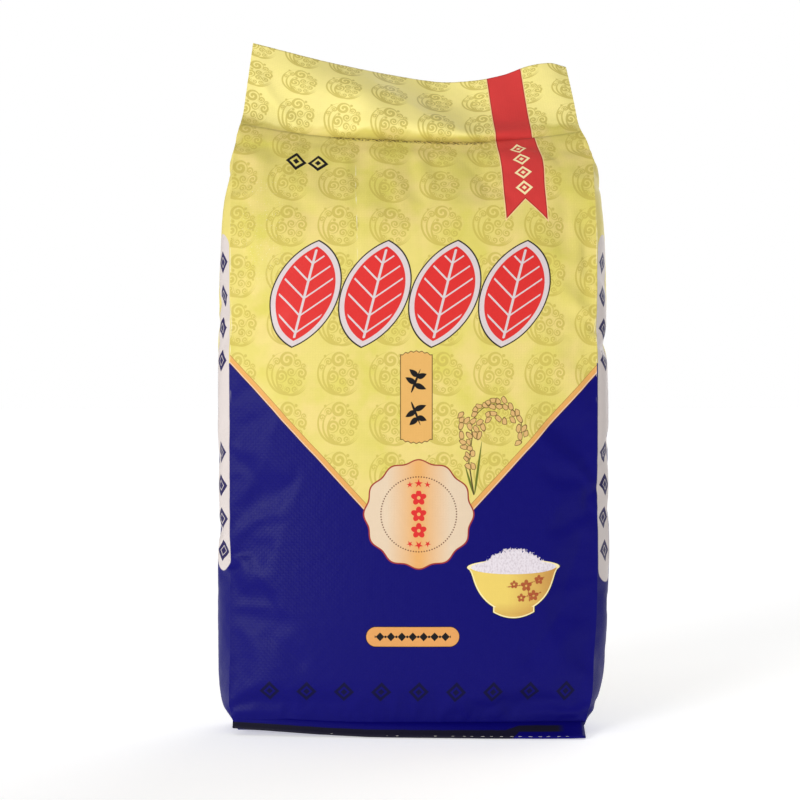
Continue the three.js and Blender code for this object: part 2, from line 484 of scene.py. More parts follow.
skin, uv = new_grid(COLUMNS, ROWS)
piece_of = skin.faces.layers.int.new("piece")
held = skin.verts.layers.deform.verify()
place_of = places_in(skin, COLUMNS, ROWS)
for face in skin.faces:
    columns = [place_of[v][0] for v in face.verts]
    index, _ = column_place(min(columns) + 0.5)
    face[piece_of] = index
    start = (0, PANEL_COLUMNS, PANEL_COLUMNS + GUSSET_COLUMNS, COLUMNS - GUSSET_COLUMNS)[index]
    count, width = (PANEL_COLUMNS, PANEL_WIDTH) if index % 2 == 0 else (GUSSET_COLUMNS, GUSSET_WIDTH)
    for loop in face.loops:
        column, row = place_of[loop.vert]
        loop[uv].uv = (((column - start) / count - 0.5) * width, heights[row])
for vert, (column, row) in place_of.items():
    vert.co = skin_point(column, row)
ends = {}
for vert, (column, row) in place_of.items():
    if column in (0, COLUMNS):
        ends.setdefault(row, {})[column] = vert
bmesh.ops.weld_verts(skin, targetmap={pair[COLUMNS]: pair[0] for pair in ends.values()})
print("skin:", len(skin.verts), "points,", len(skin.faces), "faces")

# %% [markdown]
# ## Let the cloth settle
# A computed form is too even. The cloth simulation grows the skin by about one per cent and
# pushes it out a little, as the rice does, while the flat bottom, the crease and the mouth are
# held. Where there is slack the skin buckles, and the shallow dents and draws of a real sack
# appear. No point may move further than a few millimetres, so the size stays the solid's.

# %% Cloth simulation
SETTLE_FRAMES = 18
MOST_SETTLING = 5 * MM
REST_OF_CLOTH = {"body": 0.035, "fold": 0.35, "firm": 1.0}


def hold_of(column, row):
    """How firmly a grid point is held, from 0 to 1."""
    up = row / BODY_ROWS
    _, s = column_place(column)
    at_fold = 1 - smoothstep(0, 0.05, min(s, 1 - s))
    firm = max(1 - smoothstep(0.008, 0.05, up), smoothstep(0.97, 1.0, up))
    gentle = REST_OF_CLOTH["body"] + (REST_OF_CLOTH["fold"] - REST_OF_CLOTH["body"]) * at_fold
    return gentle + (REST_OF_CLOTH["firm"] - gentle) * firm


for vert in skin.verts:
    vert[held][0] = hold_of(*place_of[vert])
formed = [v.co.copy() for v in skin.verts]
skin_object = object_of("skin", skin)
skin_object.vertex_groups.new(name="held")


def with_modifiers(piece):
    """A piece's mesh as its modifiers leave it, as data that is lost when they change."""
    return piece.evaluated_get(bpy.context.evaluated_depsgraph_get())


def settle(piece):
    """Runs the cloth on a piece and leaves its settled shape in the mesh."""
    cloth = piece.modifiers.new("Cloth", "CLOTH")
    cloth.settings.quality = 5
    cloth.settings.mass = 0.2
    cloth.settings.tension_stiffness = 30
    cloth.settings.compression_stiffness = 30
    cloth.settings.shear_stiffness = 15
    cloth.settings.bending_stiffness = 1.5
    cloth.settings.vertex_group_mass = "held"
    cloth.settings.pin_stiffness = 1.0
    cloth.settings.shrink_min = -0.012
    cloth.settings.use_pressure = True
    cloth.settings.uniform_pressure_force = 0.6
    cloth.settings.effector_weights.gravity = 0
    cloth.collision_settings.use_collision = False
    cloth.point_cache.frame_start = 1
    cloth.point_cache.frame_end = SETTLE_FRAMES
    for frame_number in range(1, SETTLE_FRAMES + 1):
        scene.frame_set(frame_number)
    moved = [v.co.copy() for v in with_modifiers(piece).data.vertices]
    piece.modifiers.remove(cloth)
    scene.frame_set(1)
    return moved


moved = settle(skin_object)
largest = 0
for vert, before, after in zip(skin_object.data.vertices, formed, moved):
    step = after - before
    largest = max(largest, step.length)
    if step.length > MOST_SETTLING:
        step *= MOST_SETTLING / step.length
    vert.co = before + step
print("cloth settled, the largest move was", round(largest * 1000, 1), "mm")
skin_object.vertex_groups.clear()

# %% [markdown]
# ## A finer mesh
# One level of subdivision rounds the facets. The lines that a real sack keeps sharp are given a
# crease first: the four gusset folds, the gussets' middles above the rice and the crest of the
# crease across the front.


# %% Sharp lines and subdivision
def opened(mesh):
    """A mesh as a bmesh, with its UV layer and its layer of pieces."""
    skin = bmesh.new()
    skin.from_mesh(mesh)
    return skin, skin.loops.layers.uv.verify(), skin.faces.layers.int["piece"]


def keep_modifiers(piece):
    """Makes a piece's modifiers part of its mesh."""
    mesh = bpy.data.meshes.new_from_object(with_modifiers(piece))
    piece.modifiers.clear()
    piece.data = mesh


skin, uv, piece_of = opened(skin_object.data)
sharp = skin.edges.layers.float.new("crease_edge")
crest = heights[BODY_ROWS]
TUCK_SHOWS = 0.86 * crest
FOLD_SHARP, TUCK_SHARP, CREST_SHARP = 0.75, 0.7, 0.8
for edge in skin.edges:
    pieces = {face[piece_of] for face in edge.link_faces}
    loop = edge.link_loops[0]
    u, v = zip(loop[uv].uv, loop.link_loop_next[uv].uv)
    upright = abs(u[0] - u[1]) < 1e-6
    if len(pieces) == 2:
        edge[sharp] = FOLD_SHARP
    elif upright and abs(u[0]) < 1e-6 and min(pieces) % 2 == 1 and min(v) > TUCK_SHOWS:
        edge[sharp] = TUCK_SHARP
    elif pieces == {0} and not upright and abs(v[0] - crest) < 1e-5:
        edge[sharp] = CREST_SHARP
skin.to_mesh(skin_object.data)
skin.free()
finer = skin_object.modifiers.new("Subdivision", "SUBSURF")
finer.levels = finer.render_levels = 1
finer.use_limit_surface = False
keep_modifiers(skin_object)
print("fine skin:", len(skin_object.data.vertices), "points")

# %% [markdown]
# ## Creases that handling leaves
# Film remembers every knock. A few named folds are pressed into the filled panels, each a thin
# line with a slope on both sides: start and end on the flat sheet, depth and width. A much finer
# unevenness comes from noise, as rice grains push the skin from inside. Then the skin gets its
# wall, printed outside and bare inside. The wall is made while the tube is whole, so its inner
# side turns each sharp fold cleanly.

# %% Pressed folds
PANEL_FOLDS = (
    ((-175, 539), (175, 539), 1.5, 13),
    ((-52, 516), (-50, 438), 1.0, 9),
    ((-50, 440), (-54, 402), 0.6, 7),
    ((44, 532), (74, 474), 1.3, 12),
    ((60, 506), (96, 462), 0.9, 8),
    ((122, 545), (138, 498), 1.2, 12),
    ((-140, 548), (-118, 470), 1.4, 16),
    ((-100, 545), (-92, 500), 0.9, 12),
    ((152, 470), (155, 372), 1.1, 9),
    ((-150, 430), (-154, 330), 0.8, 9),
    ((-138, 96), (-92, 62), 1.1, 14),
    ((-150, 150), (-120, 108), 0.9, 12),
    ((142, 124), (96, 60), 1.3, 16),
    ((154, 182), (132, 120), 1.0, 12),
    ((40, 62), (92, 40), 0.8, 12),
    ((-60, 48), (-10, 34), 0.7, 10),
    ((-156, 252), (-132, 205), 0.6, 12),
    ((120, 330), (158, 300), 0.6, 12),
)
GRAIN_PUSH, GRAIN_SCALE = 0.16 * MM, 190
WALL_THICKNESS = 0.25 * MM

skin, uv, piece_of = opened(skin_object.data)
for vert in skin.verts:
    loop = vert.link_loops[0]
    u, v = (c / MM for c in loop[uv].uv)
    if loop.face[piece_of] % 2 == 0:
        dent = sum(crease_depth(u, v, fold) for fold in PANEL_FOLDS) * MM
    else:
        dent = 0
    rough = noise.noise(vert.co * GRAIN_SCALE) * GRAIN_PUSH
    vert.co += vert.normal * (rough * smoothstep(1, 12, v) - dent)
skin.to_mesh(skin_object.data)
skin.free()

# %% Wall
wall = skin_object.modifiers.new("Wall", "SOLIDIFY")
wall.thickness = WALL_THICKNESS
wall.offset = -1
wall.material_offset = 1
wall.material_offset_rim = 1
keep_modifiers(skin_object)
print("skin with its wall:", len(skin_object.data.vertices), "points")

# %% [markdown]
# ## Numbers in a node tree
# The print is drawn by shader nodes alone. Each shape is a distance: below zero inside it, above
# zero outside, in millimetres of the flat sheet. Writing hundreds of Math nodes by hand is slow
# to read, so a small class lets a node's value be added, multiplied or compared like any number,
# and every such step makes one Math node.


# %% Number and picture
class Number:
    """A value in a node tree that can be used like a number."""

    def __init__(self, tree, socket):
        self.tree = tree
        self.socket = socket

    def maths(self, operation, *others, clamp=False):
        node = self.tree.nodes.new("ShaderNodeMath")
        node.operation = operation
        node.use_clamp = clamp
        for slot, value in zip(node.inputs, (self, *others)):
            if isinstance(value, Number):
                self.tree.links.new(value.socket, slot)
            else:
                slot.default_value = value
        return Number(self.tree, node.outputs[0])

    def __add__(self, other):
        return self.maths("ADD", other)

    def __sub__(self, other):
        return self.maths("SUBTRACT", other)

    def __rsub__(self, other):
        return self.maths("MULTIPLY_ADD", -1, other)

    def __mul__(self, other):
        return self.maths("MULTIPLY", other)

    def __truediv__(self, other):
        return self.maths("DIVIDE", other)

    def __neg__(self):
        return self.maths("MULTIPLY", -1)

    __radd__ = __add__
    __rmul__ = __mul__


def size_of(value):
    """The value without its sign."""
    return value.maths("ABSOLUTE")


def lesser(*shapes):
    """All the shapes: the least of their distances joins them."""
    return reduce(lambda a, b: a.maths("MINIMUM", b), shapes)


def greater(*shapes):
    """The overlap: the greatest of their distances keeps what all the shapes cover."""
    return reduce(lambda a, b: a.maths("MAXIMUM", b), shapes)


def reach(x, y):
    """The distance of a point from the origin."""
    return x.maths("MULTIPLY_ADD", x, y * y).maths("SQRT")


def repeat(value, pitch):
    """The same stretch, from minus half a pitch to half a pitch, again and again."""
    return value.maths("WRAP", pitch / 2, -pitch / 2)


def ink(distance, soft=0.35):
    """How much ink there is at a distance from a shape's edge, from 0 to 1."""
    return distance.maths("MULTIPLY_ADD", -1 / soft, 0.5, clamp=True)


def paint(red, green, blue):
    """A colour as seen on a screen, from 0 to 255, as the shader wants it."""
    linear = [
        c / 255 / 12.92 if c <= 10.3 else ((c / 255 + 0.055) / 1.055) ** 2.4
        for c in (red, green, blue)
    ]
    return (*linear, 1.0)


class Picture:
    """Inks laid one over another in a node tree."""

    def __init__(self, tree, ground):
        self.tree = tree
        self.top = ground

    def lay(self, amount, colour):
        node = self.tree.nodes.new("ShaderNodeMix")
        node.data_type = "RGBA"
        self.tree.links.new(amount.socket, node.inputs[0])
        for slot, value in ((node.inputs[6], self.top), (node.inputs[7], colour)):
            if isinstance(value, bpy.types.NodeSocket):
                self.tree.links.new(value, slot)
            else:
                slot.default_value = value
        self.top = node.outputs[2]

    def lay_rings(self, shape, *rings):
        """Inks that lie inside each other, each from its own distance to the shape's edge."""
        for distance, colour in rings:
            self.lay(ink(shape - distance), colour)


def new_group(name, inputs, outputs):
    """A shader node group with named sockets, and its ends."""
    tree = bpy.data.node_groups.new(name, "ShaderNodeTree")
    for label, kind, value in inputs:
        socket = tree.interface.new_socket(label, in_out="INPUT", socket_type="NodeSocket" + kind)
        if value is not None:
            socket.default_value = value
    for label, kind in outputs:
        tree.interface.new_socket(label, in_out="OUTPUT", socket_type="NodeSocket" + kind)
    return tree, tree.nodes.new("NodeGroupInput"), tree.nodes.new("NodeGroupOutput")


def group_node(tree, group):
    """A group placed in a node tree."""
    node = tree.nodes.new("ShaderNodeGroup")
    node.node_tree = group
    return node


def parts_of(tree, vector):
    """The first two parts of a vector."""
    split = tree.nodes.new("ShaderNodeSeparateXYZ")
    tree.links.new(vector, split.inputs[0])
    return Number(tree, split.outputs[0]), Number(tree, split.outputs[1])


def millimetres(tree, place):
    """The two parts of a place on the sheet, in millimetres."""
    x, y = parts_of(tree, place)
    return x * 1000, y * 1000


def vector_of(x, y):
    """Two numbers as one vector."""
    node = x.tree.nodes.new("ShaderNodeCombineXYZ")
    x.tree.links.new(x.socket, node.inputs[0])
    x.tree.links.new(y.socket, node.inputs[1])
    return node.outputs[0]


def cloudy(tree, place, dimensions, scale, detail):
    """The value of a noise texture, from 0 to 1."""
    node = tree.nodes.new("ShaderNodeTexNoise")
    node.noise_dimensions = dimensions
    node.inputs["Scale"].default_value = scale
    node.inputs["Detail"].default_value = detail
    tree.links.new(place, node.inputs["Vector"])
    return Number(tree, node.outputs["Fac"])


def flecks(x, y, scale, detail=4):
    """Uneven cloudy flecks over the sheet, from about -0.3 to 0.3."""
    return cloudy(x.tree, vector_of(x, y), "2D", scale, detail) - 0.5


def print_group(name, ground, *layers):
    """A node group for a print: one ground colour, and what each function lays on it in turn."""
    tree, start, end = new_group(name, [("Place", "Vector", None)], [("Color", "Color")])
    x, y = millimetres(tree, start.outputs["Place"])
    picture = Picture(tree, ground)
    for lay in layers:
        lay(picture, x, y)
    tree.links.new(picture.top, end.inputs["Color"])
    print(name, len(tree.nodes), "nodes")
    return tree


# %% [markdown]
# ## Inks
# The colours are read off the photograph: a warm yellow ground, a deep blue lower field,
# an orange band between them and a few small colours.

# %% Inks
YELLOW = paint(224, 208, 118)
YELLOW_GREEN = paint(214, 202, 98)
YELLOW_WARM = paint(230, 208, 130)
# painted sheen for the empty mouth's ground
YELLOW_PAINTED_SHEEN = paint(250, 236, 150)
YELLOW_SHADE = paint(196, 178, 84)
NAVY = paint(10, 6, 104)
NAVY_DARK = paint(12, 10, 48)
BAND_ORANGE = paint(222, 164, 92)
BAND_PALE = paint(228, 192, 166)
BAND_LINE = paint(176, 132, 66)
BAND_DARK = paint(52, 22, 40)
RED = paint(214, 50, 48)
RIBBON_RED = paint(212, 62, 60)
RIBBON_EDGE = paint(172, 42, 42)
RIBBON_RIM = paint(240, 206, 148)
PALE_PINK = paint(212, 200, 200)
OUTLINE = paint(40, 36, 34)
PLAQUE = paint(222, 172, 98)
PLAQUE_LINE = paint(110, 84, 50)
SEAL_SIDE = paint(222, 200, 172)
SEAL_MIDDLE = paint(226, 170, 104)
SEAL_LINE = paint(154, 52, 46)
DOTS = paint(100, 56, 40)
BLACK = paint(26, 24, 26)
GRAIN = paint(214, 174, 112)
GRAIN_LINE = paint(98, 66, 40)
STEM = paint(84, 72, 40)
LEAF = paint(104, 114, 44)
BOWL = paint(230, 202, 104)
BOWL_SHADE = paint(188, 122, 66)
BOWL_EDGE = paint(246, 230, 176)
BOWL_RED = paint(164, 72, 46)
RICE = paint(226, 218, 224)
RICE_SHADE = paint(186, 172, 180)
PILL = paint(222, 158, 92)
WHITE = paint(212, 202, 198)
# painted shade in the crease, with a little dust
SHADE_AND_GRIME = paint(84, 64, 36)
# pale cracks in the film, and painted glints
WEAR_AND_GLINT = paint(244, 238, 214)
MARK_BLUE = paint(44, 38, 84)

# %% [markdown]
# ## Motifs
# Each motif is a short function of the place on the sheet. The ground has a common cloud roundel
# that repeats, so its place is wrapped to one cell first and the curls are drawn once.


# %% Motifs
SOFT = 0.6  # how wide the edge of a soft ink is, in millimetres
# Curls of the roundel: place across and up, radius, where the spiral starts and its hand.
ROUNDEL_CURLS = (
    (1.0, 11.0, 6.9, 0.5, 1),
    (-8.6, 9.4, 3.4, 4.0, -1),
    (-4.8, -3.4, 5.5, 2.2, 1),
    (13.4, -0.6, 5.0, 3.6, -1),
    (4.4, 0.4, 3.9, 0.5, -1),
    (4.0, -8.0, 3.7, 2.0, 1),
    (-5.8, -12.4, 3.1, 1.2, -1),
    (0.6, -14.8, 3.0, 4.4, 1),
    (7.4, -14.4, 2.9, 0.8, -1),
    (9.8, 8.4, 3.6, 3.2, 1),
    (11.4, -8.4, 3.4, 5.0, 1),
    (-14.2, 4.4, 2.9, 2.4, 1),
    (15.6, 5.6, 2.6, 0.2, -1),
)
ROUNDEL_SPOTS = ((-11.4, 14.2, 1.2), (8.6, 14.6, 1.4), (-3.4, 3.8, 1.4), (15.9, -5.2, 1.1))
# Sweeps of the roundel: each lies between an outer and an inner circle (across, up and radius).
ROUNDEL_SWEEPS = (
    ((0.2, -1, 18.8), (1.3, -0.2, 18.3)),
    ((2.4, -3.4, 16.6), (3.6, -2.4, 16.2)),
    ((4.6, -5.8, 14.6), (5.8, -4.6, 14.2)),
)


def roundel(x, y):
    """Curled clouds in a round field: how dark the second yellow is, from 0 to 1."""

    def disc(across, up, radius):
        return reach(x - across, y - up) - radius

    shades = [ink(disc(*spot), SOFT) for spot in ROUNDEL_SPOTS]
    for outer, inner in ROUNDEL_SWEEPS:
        shades.append(ink(greater(disc(*outer), -disc(*inner)), SOFT))
    for across, up, radius, start, hand in ROUNDEL_CURLS:
        from_x, from_y = x - across, y - up
        far = reach(from_x, from_y)
        turn = from_y.maths("ARCTAN2", from_x)
        groove = (turn * hand + far * (3 * math.pi / radius) + start).maths("SINE")
        shades.append(ink(far - radius, SOFT) * ink(groove - 0.4, 0.7))
    return greater(*shades)


def blossom(x, y, radius):
    """A flower of five round petals with an open middle, as a distance."""
    turn = y.maths("ARCTAN2", x)
    petals = size_of(((turn - math.pi / 2) * 2.5).maths("COSINE"))
    far = reach(x, y)
    outside = far - petals.maths("MULTIPLY_ADD", 0.4 * radius, 0.6 * radius)
    return greater(outside, -(far - 0.22 * radius))


def lozenge(x, y, radius, line):
    """A ring in the shape of a rhombus with a dot in the middle, as a distance."""
    along = size_of(x) + size_of(y)
    ring = size_of(along - radius) - line
    return lesser(ring, along - line * 1.6)


def star(x, y, radius):
    """A five-pointed star, as a distance."""
    sector = repeat(x.maths("ARCTAN2", y), 2 * math.pi / 5)
    far = reach(x, y)
    side = size_of(sector.maths("SINE") * far)
    up = sector.maths("COSINE") * far
    return (side * 0.95 + up * 0.31) - radius * 0.31


def beside(x, y, start, end):
    """How far along a line a place lies, from 0 to 1, and its distance from the line."""
    run_x, run_y = end[0] - start[0], end[1] - start[1]
    length = run_x**2 + run_y**2
    from_x, from_y = x - start[0], y - start[1]
    share = (from_x * run_x + from_y * run_y).maths("DIVIDE", length, clamp=True)
    return share, reach(from_x - share * run_x, from_y - share * run_y)


def stroke(x, y, start, end, width):
    """A straight stroke between two points, as a distance."""
    _, off = beside(x, y, start, end)
    return off - width / 2


def blade(x, y, start, end, width):
    """A leaf of one brush stroke, thin at both ends, as a distance."""
    share, off = beside(x, y, start, end)
    swell = (1 - share) * share.maths("POWER", 0.6) * (1.6 * width)
    return off - swell - 0.15


# %% [markdown]
# ## The rice ear
# A ripe ear is a drooping spray of grains. Drawing each grain by hand would take hundreds of
# nodes. A Voronoi texture scatters cells over the sheet and gives each cell's middle, so one
# slanted oval is drawn round every middle, and only the cells whose middle lies near the ear's
# branches are kept. That way no grain is cut off. It is a node group of its own.


# %% Scattered grains
# The ear hangs from an arch, and shorter branches leave it.
ARCH_X, ARCH_Y, ARCH_RADIUS = 73.5, 268, 22.5
CELLS_AWAY = 30  # the cells start this far off, where all their numbers are above zero
SHORT_BRANCHES = (((48.5, 236), (44.5, 280)), ((66, 279), (88, 277)), ((54, 262), (60, 271)))


def near_branches(x, y):
    """How far a place is from the ear's arch and its short branches."""
    arch_x, arch_y = x - ARCH_X, y - ARCH_Y
    arch = size_of(reach(arch_x, arch_y * 0.97) - ARCH_RADIUS)
    hanging = greater(arch, -8 - arch_y - arch_x * 0.12)
    return lesser(hanging, *(stroke(x, y, *ends, 0) for ends in SHORT_BRANCHES))


def grains_group():
    """Grains scattered near the branches, as a distance. Its place is in millimetres."""
    tree, start, end = new_group(
        "Scattered grains",
        [("Place", "Vector", None), ("Pitch", "Float", 5.7), ("Spread", "Float", 4.5)],
        [("Distance", "Float")],
    )
    x, y = parts_of(tree, start.outputs["Place"])
    pitch = Number(tree, start.outputs["Pitch"])
    cells, borders = (tree.nodes.new("ShaderNodeTexVoronoi") for _ in range(2))
    borders.feature = "DISTANCE_TO_EDGE"
    place = vector_of(x / pitch + CELLS_AWAY, y / pitch + CELLS_AWAY)
    for node in (cells, borders):
        node.voronoi_dimensions = "2D"
        node.inputs["Scale"].default_value = 1
        node.inputs["Randomness"].default_value = 0.8
        tree.links.new(place, node.inputs["Vector"])
    middle_x, middle_y = (
        (part - CELLS_AWAY) * pitch for part in parts_of(tree, cells.outputs["Position"])
    )
    chance = tree.nodes.new("ShaderNodeSeparateColor")
    tree.links.new(cells.outputs["Color"], chance.inputs[0])
    along = (middle_y - ARCH_Y).maths("ARCTAN2", middle_x - ARCH_X) + math.pi / 2
    turn = along + (Number(tree, chance.outputs[0]) - 0.5) * 1.8
    side, upright = turn.maths("COSINE"), turn.maths("SINE")
    from_x, from_y = x - middle_x, y - middle_y
    long = from_x * side + from_y * upright
    short = from_y * side - from_x * upright
    grain = reach(long * 0.52, short) - 2.3
    grain = greater(grain, 0.04 - Number(tree, borders.outputs["Distance"]) * pitch)
    kept = (near_branches(middle_x, middle_y) - Number(tree, start.outputs["Spread"])) * 50
    tree.links.new(greater(grain, kept).socket, end.inputs["Distance"])
    return tree


GRAINS = grains_group()

# %% [markdown]
# ## The panel's print
# From the ground up: the yellow field with its roundels and a painted sheen on the empty mouth,
# the blue field under a wide V with an orange band, then the red leaves, the ribbon, the plaque,
# the ear, the seal, the bowl and the small marks. Painted shade along the crease, painted glints
# and the wear come last. Every place is in millimetres on the flat panel, from its middle and
# from the floor.

# %% Places on the panel
CENTRE = 4.3
V_POINT, V_SLOPE = 155.6, 1.047
ROUNDEL_PITCH = (46.0, 43.1)
ROUNDEL_START = (25.0, 231.4)
LEAVES_X, LEAVES_Y, LEAF_PITCH, LEAF_LEAN = -3.5, 385.6, 61.8, 0.26
LEAF_HALF_WIDTH, LEAF_HALF_HEIGHT = 25.5, 41
RIB_PITCH, RIB_RISE = 15, 0.8
RIBBON_X, RIBBON_HALF, RIBBON_TIP, RIBBON_NOTCH = 100.4, 18.6, 451.5, 19.9
RIBBON_MARKS_Y, RIBBON_MARKS_HALF, RIBBON_MARK_PITCH = 509, 35, 17.4
PLAQUE_X, PLAQUE_Y, PLAQUE_HALF_WIDTH, PLAQUE_HALF_HEIGHT, SPRIG_OFF = 2.2, 296.4, 13.6, 39, 14
SEAL_X, SEAL_Y, SEAL_RADIUS, SEAL_SQUEEZE = 4.2, 195.6, 47.2, 1.035
SEAL_SCALLOPS, SEAL_DOTS, DOTS_RADIUS = 12, 88, 33.3
STAR_PITCH, FLOWER_PITCH, FLOWER_RADIUS = 7.8, 14.6, 7
BOWL_X, BOWL_RIM = 88.3, 149.8
PILL_X, PILL_Y, PILL_HALF, PILL_RADIUS, BEAD_PITCH = -0.9, 90.5, 32.6, 8.3, 9.6
CREST = heights[BODY_ROWS] / MM
MARKS_X, MARKS_Y, MARKS_HALF, MARKS_PITCH = 6.0, 42.2, 150, 33.3
PAIR_X, PAIR_Y, PAIR_HALF = -96.5, 511.0, 10


def field_edge(x, y):
    """The height of a point above the V, square to its sides."""
    rise = y - V_POINT - size_of(x - CENTRE) * V_SLOPE
    return rise / math.hypot(1, V_SLOPE)


def lay_ground(picture, x, y):
    """Yellow, a little cloudy, with roundels and a painted sheen on the empty mouth, over blue, and
    the band between them.
    """
    picture.lay(ink(flecks(x, y, 0.018) * -1 + 0.04, 0.3), YELLOW_GREEN)
    picture.lay(ink(flecks(x + 500, y, 0.03) * -1 + 0.06, 0.24) * 0.8, YELLOW_WARM)
    # Painted highlight: the empty mouth's ground is painted lighter as its sheen, with the cloth
    # layers behind its film. The strip just above the crease is left darker as painted shade.
    empty = ink(flecks(x, 40 - y, 0.02) * 22 + (CREST + 16) - y, 4)
    picture.lay(empty * 0.8, YELLOW_PAINTED_SHEEN)
    cell_x = repeat(x - ROUNDEL_START[0], ROUNDEL_PITCH[0])
    cell_y = repeat(y - ROUNDEL_START[1], ROUNDEL_PITCH[1])
    picture.lay(roundel(cell_x, cell_y) * 0.75, YELLOW_SHADE)
    picture.lay_rings(
        field_edge(x, y), (0.5, BAND_LINE), (0, BAND_ORANGE), (-3.8, BAND_PALE), (-4.7, BAND_DARK),
        (-5.4, NAVY),
    )


def lay_leaves(picture, x, y):
    """Four bold red leaves that lean, each with pale veins, a pale border and a thin outline."""
    up = y - LEAVES_Y
    across = x - LEAVES_X - up * LEAF_LEAN
    cell = repeat(across - LEAF_PITCH / 2, LEAF_PITCH)
    in_row = size_of(across) - 2 * LEAF_PITCH
    radius = (LEAF_HALF_HEIGHT**2 + LEAF_HALF_WIDTH**2) / (2 * LEAF_HALF_WIDTH)
    aside = size_of(cell)
    outer = reach(aside + (radius - LEAF_HALF_WIDTH), up) - radius
    ribs = size_of(repeat(up - aside * RIB_RISE + 4, RIB_PITCH)) - 0.9
    veins = greater(lesser(aside - 1.1, ribs), outer + 2.2)
    for shape, colour in (
        (outer - 5.4, OUTLINE), (outer - 4.2, PALE_PINK), (outer, RED), (veins, PALE_PINK),
    ):
        picture.lay(ink(greater(shape, in_row)), colour)


def lay_ribbon(picture, x, y):
    """The red ribbon from the mouth's edge down to its forked end, with small pale marks."""
    above = ink(CREST + 4 - y, 6)
    middle = (CREST - y) * 0.012 + RIBBON_X - above * 0.7
    off = size_of(x - middle) + above
    fork = (RIBBON_TIP + RIBBON_NOTCH) - off * (RIBBON_NOTCH / RIBBON_HALF)
    edge = greater(off - RIBBON_HALF, (fork - y) * 0.7)
    picture.lay_rings(edge, (0.9, RIBBON_RIM), (0, RIBBON_EDGE))
    picture.lay(ink(edge + 0.9, 0.7), RIBBON_RED)
    row = y - RIBBON_MARKS_Y
    mark = lozenge(x - middle, repeat(row - RIBBON_MARK_PITCH / 2, RIBBON_MARK_PITCH), 6.4, 1.4)
    picture.lay(ink(greater(mark, size_of(row) - RIBBON_MARKS_HALF)), BOWL_EDGE)


# Blades of a sprig beside its stem: where each starts and ends, from the sprig's middle.
SPRIG_BLADES = (
    ((-1, -2), (-9.5, 3)), ((-1.5, -3), (8.5, -7)), ((1, 3), (9, 6)), ((1, 4), (-6, 10)),
)


def lay_plaque(picture, x, y):
    """The upright orange plaque with arched ends, a thin line round it and two dark sprigs."""
    across = size_of(x - PLAQUE_X)
    up = size_of(y - PLAQUE_Y)
    waves = (across * 1.3).maths("COSINE") * -0.5
    arch = up - PLAQUE_HALF_HEIGHT + (across * across) / 60 + waves
    edge = greater(across - PLAQUE_HALF_WIDTH, arch)
    picture.lay_rings(edge, (0.8, PLAQUE_LINE), (0, PLAQUE))
    off_x, off_y = x - PLAQUE_X, up - SPRIG_OFF
    stem = blade(off_x, off_y, (-4.5, -10), (3.5, 10), 1.7)
    sprig = lesser(stem, *(blade(off_x, off_y, *ends, 4.2) for ends in SPRIG_BLADES))
    picture.lay(ink(sprig), BLACK)


def lay_seal(picture, x, y):
    """The scalloped seal: an orange middle that fades to its sides, dots, stars and flowers."""
    off_x, off_y = x - SEAL_X, (y - SEAL_Y) * SEAL_SQUEEZE
    far = reach(off_x, off_y)
    turn = off_y.maths("ARCTAN2", off_x)
    edge = far - SEAL_RADIUS - (turn * SEAL_SCALLOPS).maths("COSINE") * 1.4
    picture.lay_rings(edge, (0.6, SEAL_LINE), (-0.7, SEAL_SIDE))
    picture.lay(ink(size_of(off_x) - 15, 26) * ink(edge + 0.6), SEAL_MIDDLE)
    along = repeat(turn, 2 * math.pi / SEAL_DOTS) * DOTS_RADIUS
    picture.lay(ink(reach(along, far - DOTS_RADIUS) - 0.62), DOTS)
    ends = size_of(off_y)
    bow = ends - 27.6 + size_of(off_x) * 0.16
    big = ink(size_of(off_x) - 3.9, 0.1)
    stars = greater(star(repeat(off_x, STAR_PITCH), bow, big + 3.0), size_of(off_x) - 11.5)
    flowers = greater(blossom(off_x, repeat(off_y, FLOWER_PITCH), FLOWER_RADIUS), ends - 21)
    picture.lay(ink(lesser(stars, flowers)), RED)


def lay_ear(picture, x, y):
    """A drooping ear of rice on its stem, with two thin leaves."""
    leaves = lesser(
        blade(x, y, (53.5, 213), (60, 258), 1.6), blade(x, y, (52.5, 213), (45, 238), 1.5)
    )
    low_stem = stroke(x, y, (52.8, 212.5), (48.5, 240), 1.2)
    high_stem = stroke(x, y, (48.5, 240), (51.5, 262), 0.9)
    arch = size_of(reach(x - ARCH_X, y - ARCH_Y) - ARCH_RADIUS) - 0.35
    picture.lay(ink(leaves), LEAF)
    picture.lay(ink(lesser(low_stem, high_stem, greater(arch, 262 - y))), STEM)
    scattered = group_node(x.tree, GRAINS)
    x.tree.links.new(vector_of(x, y), scattered.inputs["Place"])
    picture.lay_rings(Number(x.tree, scattered.outputs[0]), (0, GRAIN_LINE), (-0.48, GRAIN))


# Blossoms on the bowl: place from the middle of its rim across and up, and radius. The twigs
# that bear them start and end at places that are counted the same way.
BOWL_BLOSSOMS = (
    (11, -16, 5.2), (22.5, -11, 4.2), (17.5, -24.5, 4.8), (0, -15, 3.6), (6.5, -26.5, 3.8),
)
BOWL_TWIGS = (
    ((-6, -17), (12, -15)), ((12, -15), (27, -9)), ((12, -15), (14, -29)), ((8, -26), (24, -22)),
)


